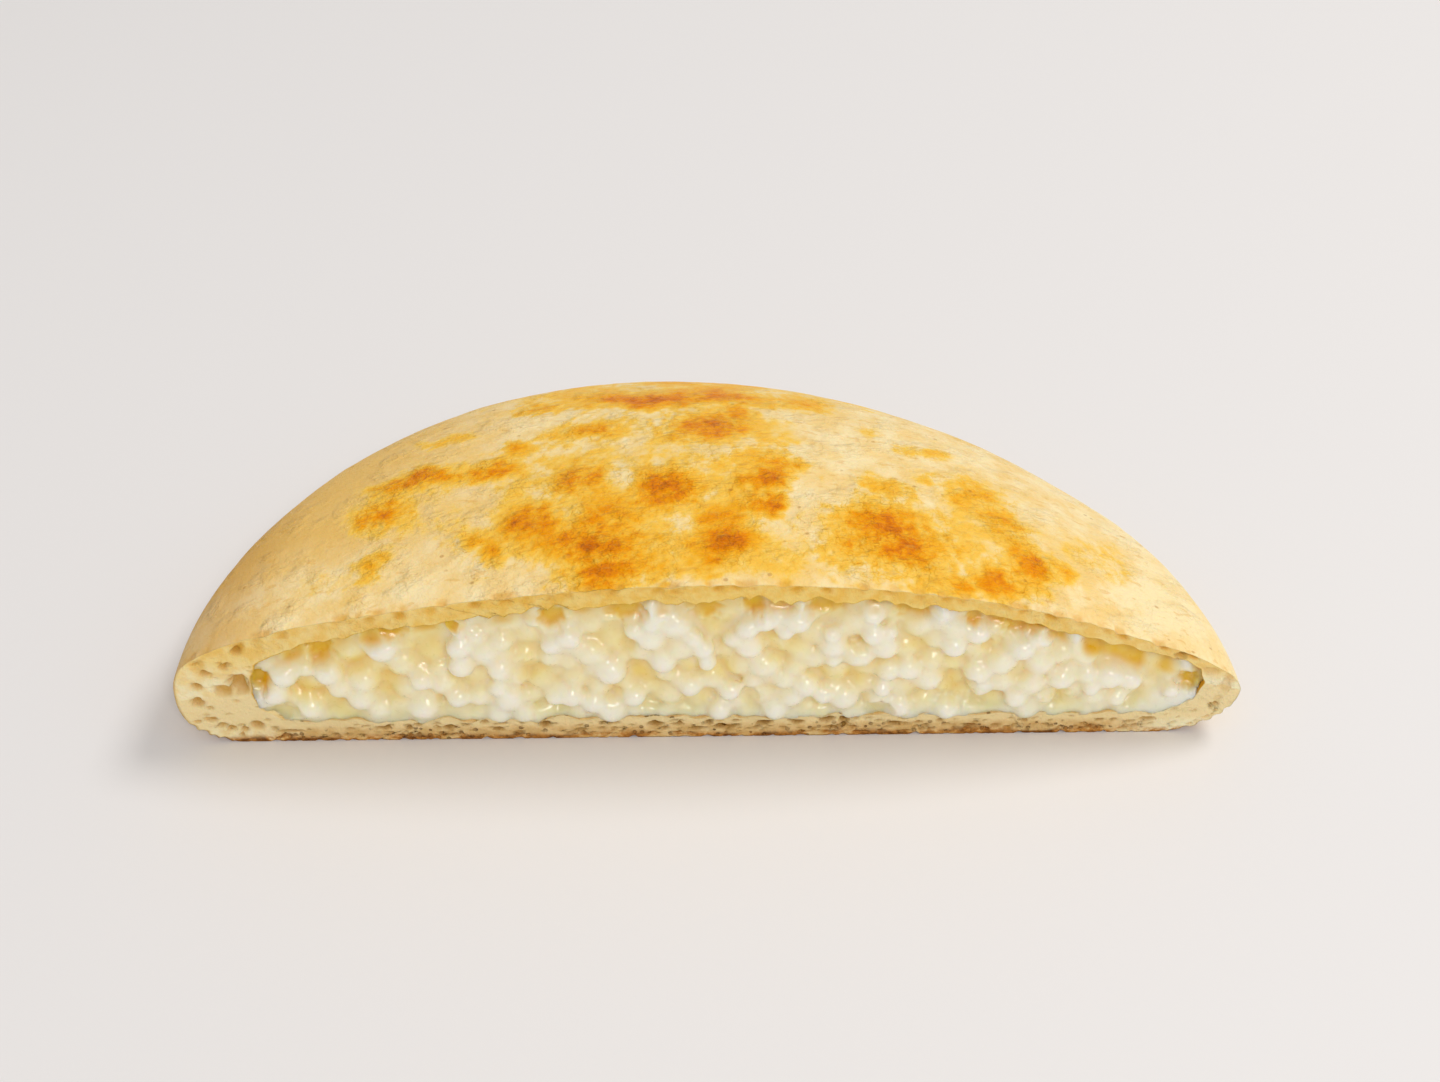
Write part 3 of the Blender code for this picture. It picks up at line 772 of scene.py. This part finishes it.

# Deep hollows at the ends and below the top crust, where the cheese pulled back from it, painted golden as
# their shade, and small ones between the lumps.
GOLDEN_HOLLOWS = (
    Hole(-67.6, 12.0, 3.7, 5.7, 2.2),
    Hole(-58.0, 17.8, 4.4, 6.0, 2.2),
    Hole(-47.0, 21.2, 6.0, 3.6, 1.7),
    Hole(-38.0, 22.4, 3.6, 3.4, 1.6),
    Hole(-23.4, 23.6, 5.4, 4.4, 1.8),
    Hole(-12.6, 24.8, 6.6, 4.6, 1.8),
    Hole(-0.8, 25.2, 5.2, 6.4, 2.0),
    Hole(6.2, 25.6, 4.2, 4.4, 1.8),
    Hole(16.8, 25.4, 8.0, 4.4, 1.9),
    Hole(29.6, 24.6, 7.0, 3.8, 1.7),
    Hole(38.6, 22.8, 3.2, 3.8, 1.6),
    Hole(46.0, 21.6, 8.0, 5.0, 1.9),
    Hole(72.3, 9.9, 4.2, 4.0, 1.9),
)
HOLLOWS = (
    Hole(-12.4, 18.4, 3.0, 3.0, 0.9),
    Hole(9.2, 17.1, 2.6, 3.6, 0.9),
    Hole(5.7, 8.2, 3.4, 3.4, 0.8),
    Hole(37.0, 9.3, 6.0, 6.0, 0.9),
    Hole(22.0, 18.2, 2.4, 2.4, 0.9),
    Hole(41.0, 17.6, 2.2, 2.2, 1.2),
    Hole(25.2, 5.6, 5.0, 3.0, 1.0),
    Hole(-65.0, 5.9, 5.5, 2.8, 1.3),
    Hole(-27.0, 14.0, 4.0, 4.0, 0.9),
    Hole(-10.6, 12.0, 3.6, 3.6, 0.9),
    Hole(51.6, 8.2, 4.6, 3.4, 1.0),
)

FILLING = ROOM._replace(half_width=72.0 * MM, depth=72.0 * MM, height=27.3 * MM, floor=4.5 * MM)

# How far the nuggets stand out of the cut, the curds between them lie behind it, and the cheese pulled back
# from the crust.
PROUD, SUNKEN, PULLED_BACK = 1.5 * MM, 0.75 * MM, 1.7 * MM

# Curds are laid large ones first, and may overlap by what their spacing leaves.
CURD_RADIUS, CURD_TRIES, CURD_SPACING = (1.3 * MM, 2.6 * MM), 9000, 0.74
CHEESE_SEED = 5

# A nugget's ball: its share of the nugget's size, how far behind the cut its middle lies, and half its depth.
NUGGET_SHARE, NUGGET_BACK, NUGGET_HALF_DEPTH = 0.42, 2.0 * MM, 1.9 * MM

# A row of curds in the corner by the bread: where it runs, in degrees from the right end over the top, its
# spacing, how far in it lies at both ends, and the ranges in millimetres of its curds' radius, rise and place.
CORNER_FROM, CORNER_TO, CORNER_SPACING, CORNER_INSET = 165, 378, 1.0 * MM, 0.8 * MM
CORNER_RADIUS, CORNER_RISE, CORNER_BACK = (1.0, 1.9), (-0.7, 0.5), (-0.35, 0.4)

# The slab behind the curds, and how it all melts together.
CORE_FRONT, SLAB_BACK, SLAB_ROWS, SLAB_STEPS, SLAB_SAG = 1.8 * MM, 9 * MM, 8, 220, 0.8
VOXEL, SOFTENING, SOFTENING_ROUNDS = 0.36 * MM, 0.6, 11
MILKY_RELIEF = 0.06 * MM

# The gap under the top crust, which is higher near the right end, and how far curd stays behind the crumb
# below it, where it would come through.
GAP_HEIGHT, GAP_MORE, GAP_PLACE, GAP_INNER, GAP_OUTER = 3.6, 2.2, 60, 4, 13
BURIED_PUSH, BURIED_LITTLE, BURIED_DEEP = 1.6 * MM, 0.4 * MM, 1.1 * MM

# The rest of the filling: its rows behind the cut, in millimetres.
BODY_ROWS, BODY_STEPS, BODY_SAG = (7, 12, 20, 30, 40, 50, 60, 67, 70.5), 96, 0.4

Lump = namedtuple("Lump", "x y z half_width half_depth half_height")
draw = random.Random(CHEESE_SEED)


def ceiling_at(x):
    """Height of the filling's top at the cut, at a place along it."""
    across = np.clip((x - FILLING.middle) / FILLING.half_width, -1, 1)
    return dome_height(FILLING, across, np.abs(across))


def floor_at(x):
    """Height of the filling's underside at the cut."""
    across = np.clip((x - FILLING.middle) / FILLING.half_width, -1, 1)
    return base_height(FILLING, across, np.abs(across))


def bulge_of_nuggets(x, z):
    """How far the nuggets push the curd out at a place of the cut, from 0 to 1."""
    bulge = 0
    for nugget in NUGGETS:
        along = (x / MM - nugget.x) / (nugget.width / 2)
        above = (z / MM - nugget.z) / (nugget.height / 2)
        bulge = max(bulge, float(fall(math.hypot(along, above), 0.5, 1.7)))
    return bulge


def scattered_curds():
    """Round curds packed all over the cut, further out where they belong to a nugget."""
    curds = []
    small, large = CURD_RADIUS
    for attempt in range(CURD_TRIES):
        x = draw.uniform(FILLING.middle - FILLING.half_width, FILLING.middle + FILLING.half_width)
        z = draw.uniform(FILLING.floor, FILLING.height)
        radius = large - (large - small) * (attempt / CURD_TRIES) ** 0.35 + draw.uniform(-0.15, 0.15) * MM
        if z < floor_at(x) - 0.3 * radius or z > ceiling_at(x) - 0.2 * radius:
            continue
        gaps = (math.hypot(x - other.x, z - other.z) / (radius + other.half_height) for other in curds)
        if any(gap < CURD_SPACING for gap in gaps):
            continue
        bulge = bulge_of_nuggets(x, z)
        front = SUNKEN - (SUNKEN + PROUD) * bulge + draw.uniform(0, 0.35) * MM
        curds.append(Lump(x, front + radius, z, radius * draw.uniform(1.0, 1.15), radius, radius))
    return curds


def settled(lump):
    """A lump pressed back where it meets the bread."""
    above_floor, below_ceiling = lump.z - floor_at(lump.x), ceiling_at(lump.x) - lump.z
    press_below = 0.5 * max(0.5 * lump.half_height - above_floor, 0)
    press_above = 1.1 * max(0.8 * lump.half_height - below_ceiling, 0)
    return lump._replace(y=lump.y + (press_below + press_above))


lumps = [settled(lump) for lump in scattered_curds()]
for nugget in NUGGETS:
    half_width, half_height = NUGGET_SHARE * nugget.width * MM, NUGGET_SHARE * nugget.height * MM
    lumps.append(Lump(nugget.x * MM, NUGGET_BACK, nugget.z * MM, half_width, NUGGET_HALF_DEPTH, half_height))

# A row of curds fills the corner between the cheese and the bread below it and at both ends.
corner_turns = np.arange(
    math.radians(CORNER_FROM), math.radians(CORNER_TO), CORNER_SPACING / FILLING.half_width
)
for turn in corner_turns:
    corner = form_points(FILLING, np.array([math.cos(turn)]), np.array([0.0]), np.array([math.sin(turn)]))[0]
    radius = draw.uniform(*CORNER_RADIUS) * MM
    inset = -CORNER_INSET * math.cos(turn)
    rise = draw.uniform(*CORNER_RISE) * MM
    back = radius + draw.uniform(*CORNER_BACK) * MM
    lumps.append(Lump(corner[0] + inset, back, corner[2] + rise, radius, radius, radius))


def curd_mesh(places):
    """All the lumps in one mesh, each a ball that is squashed, turned and pushed out of round."""
    ball = bmesh.new()
    bmesh.ops.create_icosphere(ball, subdivisions=3, radius=1)
    shape = np.array([vertex.co[:] for vertex in ball.verts])
    triangles = np.array([[vertex.index for vertex in face.verts] for face in ball.faces])
    ball.free()
    all_points, all_faces = [], []
    for number, lump in enumerate(places):
        centre = np.array(lump[:3])
        turn = np.array(Matrix.Rotation(draw.uniform(-0.4, 0.4), 3, "Y"))
        body = (shape * lump[3:]) @ turn.T
        bulge = 1 + 0.10 * ripple(body + centre, 1.4 * MM, 7.0)
        all_points.append(body * bulge[:, None] + centre)
        all_faces.append(triangles + number * len(shape))
    return np.concatenate(all_points), np.concatenate(all_faces)


def filled(distances, around_steps, sag):
    """A closed body of the filling, with a row of points at each distance behind the cut. Its top sags by
    some millimetres."""
    turn = np.linspace(0, 2 * math.pi, around_steps, endpoint=False)
    body = rings(FILLING, turn, distances)
    body[:, :, 2] -= np.clip(np.sin(turn), 0, 1) * sag * MM
    faces = band_faces(0, len(body) - 1, around_steps)
    faces.append(tuple(range(around_steps))[::-1])
    faces.append(tuple(range((len(body) - 1) * around_steps, len(body) * around_steps)))
    return body.reshape(-1, 3), faces


lump_points, lump_faces = curd_mesh(lumps)
slab_points, slab_faces = filled(np.linspace(CORE_FRONT, SLAB_BACK, SLAB_ROWS), SLAB_STEPS, SLAB_SAG)
all_faces = [tuple(face) for face in lump_faces]
all_faces += [tuple(index + len(lump_points) for index in face) for face in slab_faces]
slab_mesh = bpy.data.meshes.new("curd_slab")
slab_mesh.from_pydata(np.concatenate([lump_points, slab_points]).tolist(), [], all_faces)
slab = bpy.data.objects.new("curd_slab", slab_mesh)
bpy.context.scene.collection.objects.link(slab)
melt = slab.modifiers.new("melted together", "REMESH")
melt.mode = "VOXEL"
melt.voxel_size = VOXEL
soften = slab.modifiers.new("softened", "SMOOTH")
soften.factor = SOFTENING
soften.iterations = SOFTENING_ROUNDS
bpy.context.view_layer.update()
melted = bpy.data.meshes.new_from_object(slab.evaluated_get(bpy.context.evaluated_depsgraph_get()))
bpy.data.objects.remove(slab)
melted.name = "cheese_filling_melted"

curd = np.empty(len(melted.vertices) * 3, np.float32)
melted.vertices.foreach_get("co", curd)
curd = curd.reshape(-1, 3).astype(float)
facing = normals_of(melted)

# The hollows are pressed in, then the gap under the top crust, then fine milky unevenness.
hollow, in_hollow = dent(curd, HOLLOWS)
golden_hollow, in_gold = dent(curd, GOLDEN_HOLLOWS)
right_gap = fall(np.abs(curd[:, 0] / MM - GAP_PLACE), GAP_INNER, GAP_OUTER)
gap_height = (GAP_HEIGHT + GAP_MORE * right_gap) * MM
pulled_back = fall(ceiling_at(curd[:, 0]) - curd[:, 2], 0.55 * gap_height, gap_height)
uneven = ripple(columns(curd[:, 0], 0, 0), 4 * MM, 2.0)
pulled_back *= np.clip(0.45 + 1.5 * uneven + 0.6 * right_gap, 0, 1)
in_gold = np.maximum(in_gold, pulled_back)
hollow = np.maximum(np.maximum(hollow, golden_hollow), PULLED_BACK * pulled_back)
in_hollow = np.maximum(0.5 * in_hollow, in_gold)
reached = fall(curd[:, 1], 3.5 * MM, 8.5 * MM)
curd[:, 1] += (hollow - 0.75 * in_hollow * curd[:, 1]) * reached
curd -= facing * (MILKY_RELIEF * (0.5 - 0.5 * ripple(curd, 0.9 * MM, 2.5)))[:, None]

# Curd that would come through the crumb below it stays behind.
crumb_edge = room[0][upwards < 0]
crumb_edge = crumb_edge[np.argsort(crumb_edge[:, 0])]
buried = np.interp(curd[:, 0], crumb_edge[:, 0], crumb_edge[:, 2]) - curd[:, 2]
curd[:, 1] += BURIED_PUSH * (1 - fall(buried, BURIED_LITTLE, BURIED_DEEP)) * reached

# How deep each point lies behind the curd around it, read off a grid over the cut that keeps the foremost
# curd of each cell: cells of this size, averaged with their neighbours so many times.
CELL, GRID_START, NOTHING_THERE = 0.5 * MM, -80 * MM, 3 * MM
NEAR_ROUNDS, WIDE_ROUNDS = 14, 90
cell_x = (curd[:, 0] - GRID_START) / CELL
cell_z = curd[:, 2] / CELL
front = np.full((int(cell_x.max()) + 2, int(cell_z.max()) + 2), NOTHING_THERE)
np.minimum.at(front, (cell_x.round().astype(int), cell_z.round().astype(int)), curd[:, 1])


def blurred(heights, rounds):
    """The grid with each cell averaged with its neighbours, round after round."""
    for _ in range(rounds):
        padded = np.pad(heights, 1, mode="edge")
        beside = padded[:-2, 1:-1] + padded[2:, 1:-1] + padded[1:-1, :-2] + padded[1:-1, 2:]
        heights = (beside + 2 * heights) / 6
    return heights


def read_off(heights):
    """The grid's value at each point, from its four cells around."""
    low_x, low_z = cell_x.astype(int), cell_z.astype(int)
    share_x, share_z = cell_x - low_x, cell_z - low_z
    low = heights[low_x, low_z] * (1 - share_x) + heights[low_x + 1, low_z] * share_x
    high = heights[low_x, low_z + 1] * (1 - share_x) + heights[low_x + 1, low_z + 1] * share_x
    return low * (1 - share_z) + high * share_z


near = read_off(blurred(front, NEAR_ROUNDS))
wide = read_off(blurred(front, WIDE_ROUNDS))
recess = (0.85 * near + 0.15 * curd[:, 1] - wide) / MM

curd += np.array(cut_middle)
melted.vertices.foreach_set("co", curd.astype(np.float32).ravel())
melted.update()
height_above, place_along = curd[:, 2] - cut_middle.z, curd[:, 0] - cut_middle.x
for name, values in {
    # Painted shade in the recesses, partly the fat between the curds; painted shade low down by the base crust
    # and at the left end, away from the lamps.
    "recess": recess,
    "deep": near / MM,
    # Painted golden shade in the deep hollows and the gap under the top crust.
    "gap": in_gold * reached,
    "low": fall(height_above, 4.2 * MM, 8 * MM),
    "left": fall(place_along, -60 * MM, -30 * MM),
}.items():
    paint(melted, name, values)

# The rest of the filling, all through the bread, which nothing shows of.
body_points, body_faces = filled([back * MM for back in BODY_ROWS], BODY_STEPS, BODY_SAG)
joined = bmesh.new()
joined.from_mesh(melted)
rest = bpy.data.meshes.new("rest")
rest.from_pydata((body_points + np.array(cut_middle)).tolist(), [], body_faces)
joined.from_mesh(rest)
bpy.data.meshes.remove(rest)
joined.to_mesh(melted)
joined.free()
melted.polygons.foreach_set("use_smooth", np.ones(len(melted.polygons), bool))
cheese = bpy.data.objects.new("cheese_filling_melted", melted)
bpy.context.scene.collection.objects.link(cheese)


def melted_curd():
    """White curd with a wet gloss, butter-yellow where the light only reaches through it."""
    finish = Finish("melted curd")
    recess, deep, gap, low, left = finish.painted("recess", "deep", "gap", "low", "left")
    milk = finish.grain(3.5 * MM, detail=2)
    fine = finish.grain(0.7 * MM, detail=3, shift=0.3)
    # Yellower in the recesses between the curds, partly the fat there and partly painted shade; yellower also
    # with painted shade low down by the base crust and towards the left end, away from the lamps.
    depth = 0.22 + recess * 0.28 + deep * 0.08 + (milk - 0.5) * 0.25 + low * 0.2 + left * 0.12
    colour = depth.colour(
        (0.0, srgb(254, 241, 221)),
        (0.22, srgb(251, 235, 200)),
        (0.45, srgb(248, 226, 162)),
        (0.70, srgb(242, 205, 86)),
        (1.0, srgb(232, 182, 34)),
    )
    # Painted golden shade deep in the hollows and the gap under the top crust.
    colour = (gap.between(0.15, 1.0) * (0.55 + milk * 0.7)).mix(colour, srgb(239, 190, 18))
    relief = finish.bump(milk + fine * 0.3, 0.25 * MM, 0.35)
    return finish.set(
        Base_Color=colour,
        Roughness=0.30 + (fine - 0.5) * 0.2,
        Normal=relief,
        Subsurface_Weight=0.8,
        Subsurface_Radius=(1.0, 0.75, 0.45),
        Subsurface_Scale=4.5 * MM,
        Specular_IOR_Level=0.4,
        Coat_Weight=0.3,
        Coat_Roughness=0.15,
    )


melted.materials.clear()
melted.materials.append(melted_curd())
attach(cheese, "root")
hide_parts("cheese_filling")

# The table: a plain pale top, lit by soft studio lamps, and seen from the place of a person who sits there.
floor_mesh = bpy.data.meshes.new("pale_table")
FLOOR_HALF = 1.5
corners = [(x * FLOOR_HALF, y * FLOOR_HALF, 0) for x, y in ((-1, -1), (1, -1), (1, 1), (-1, 1))]
floor_mesh.from_pydata(corners, [], [(0, 1, 2, 3)])
floor = bpy.data.objects.new("pale_table", floor_mesh)
bpy.context.scene.collection.objects.link(floor)
table = Finish("pale table")
floor_mesh.materials.append(table.set(Base_Color=srgb(232, 229, 228), Roughness=0.6))


def soft_lamp(name, place, target, size, watts, colour):
    """A round, soft lamp that points at its target."""
    light = bpy.data.lights.new(name, "AREA")
    light.shape = "DISK"
    light.size = size
    light.energy = watts
    light.color = colour
    lamp = bpy.data.objects.new(name, light)
    lamp.location = place
    lamp.rotation_euler = (Vector(target) - Vector(place)).to_track_quat("-Z", "Y").to_euler()
    bpy.context.scene.collection.objects.link(lamp)


PIE_MIDDLE = (0, 0, 0.01)
soft_lamp("window_light", (1.05, 0.5, 1.6), PIE_MIDDLE, size=0.8, watts=15, colour=(1.0, 0.985, 0.96))
soft_lamp("front_fill", (0.45, -1.45, 1.35), PIE_MIDDLE, size=0.5, watts=12, colour=(1.0, 0.985, 0.97))

world = bpy.data.worlds.new("studio air")
world.use_nodes = True
world.node_tree.nodes["Background"].inputs["Color"].default_value = (1.0, 0.99, 0.98, 1)
world.node_tree.nodes["Background"].inputs["Strength"].default_value = 0.52
bpy.context.scene.world = world
bpy.context.scene.view_settings.view_transform = "Standard"

# The camera looks down on the cut, from straight in front of it.
CAMERA_PLACE, CAMERA_AIM = Vector((-1.9, -197.2, 195.5)) * MM, Vector((1.2, 0, 38.3)) * MM
camera_data = bpy.data.cameras.new("camera")
camera_data.sensor_width = 36
camera_data.lens = 45
camera_data.clip_start = 0.01
camera = bpy.data.objects.new("camera", camera_data)
camera.location = cut_middle + CAMERA_PLACE
camera.rotation_euler = (CAMERA_AIM - CAMERA_PLACE).to_track_quat("-Z", "Y").to_euler()
bpy.context.scene.collection.objects.link(camera)
bpy.context.scene.camera = camera
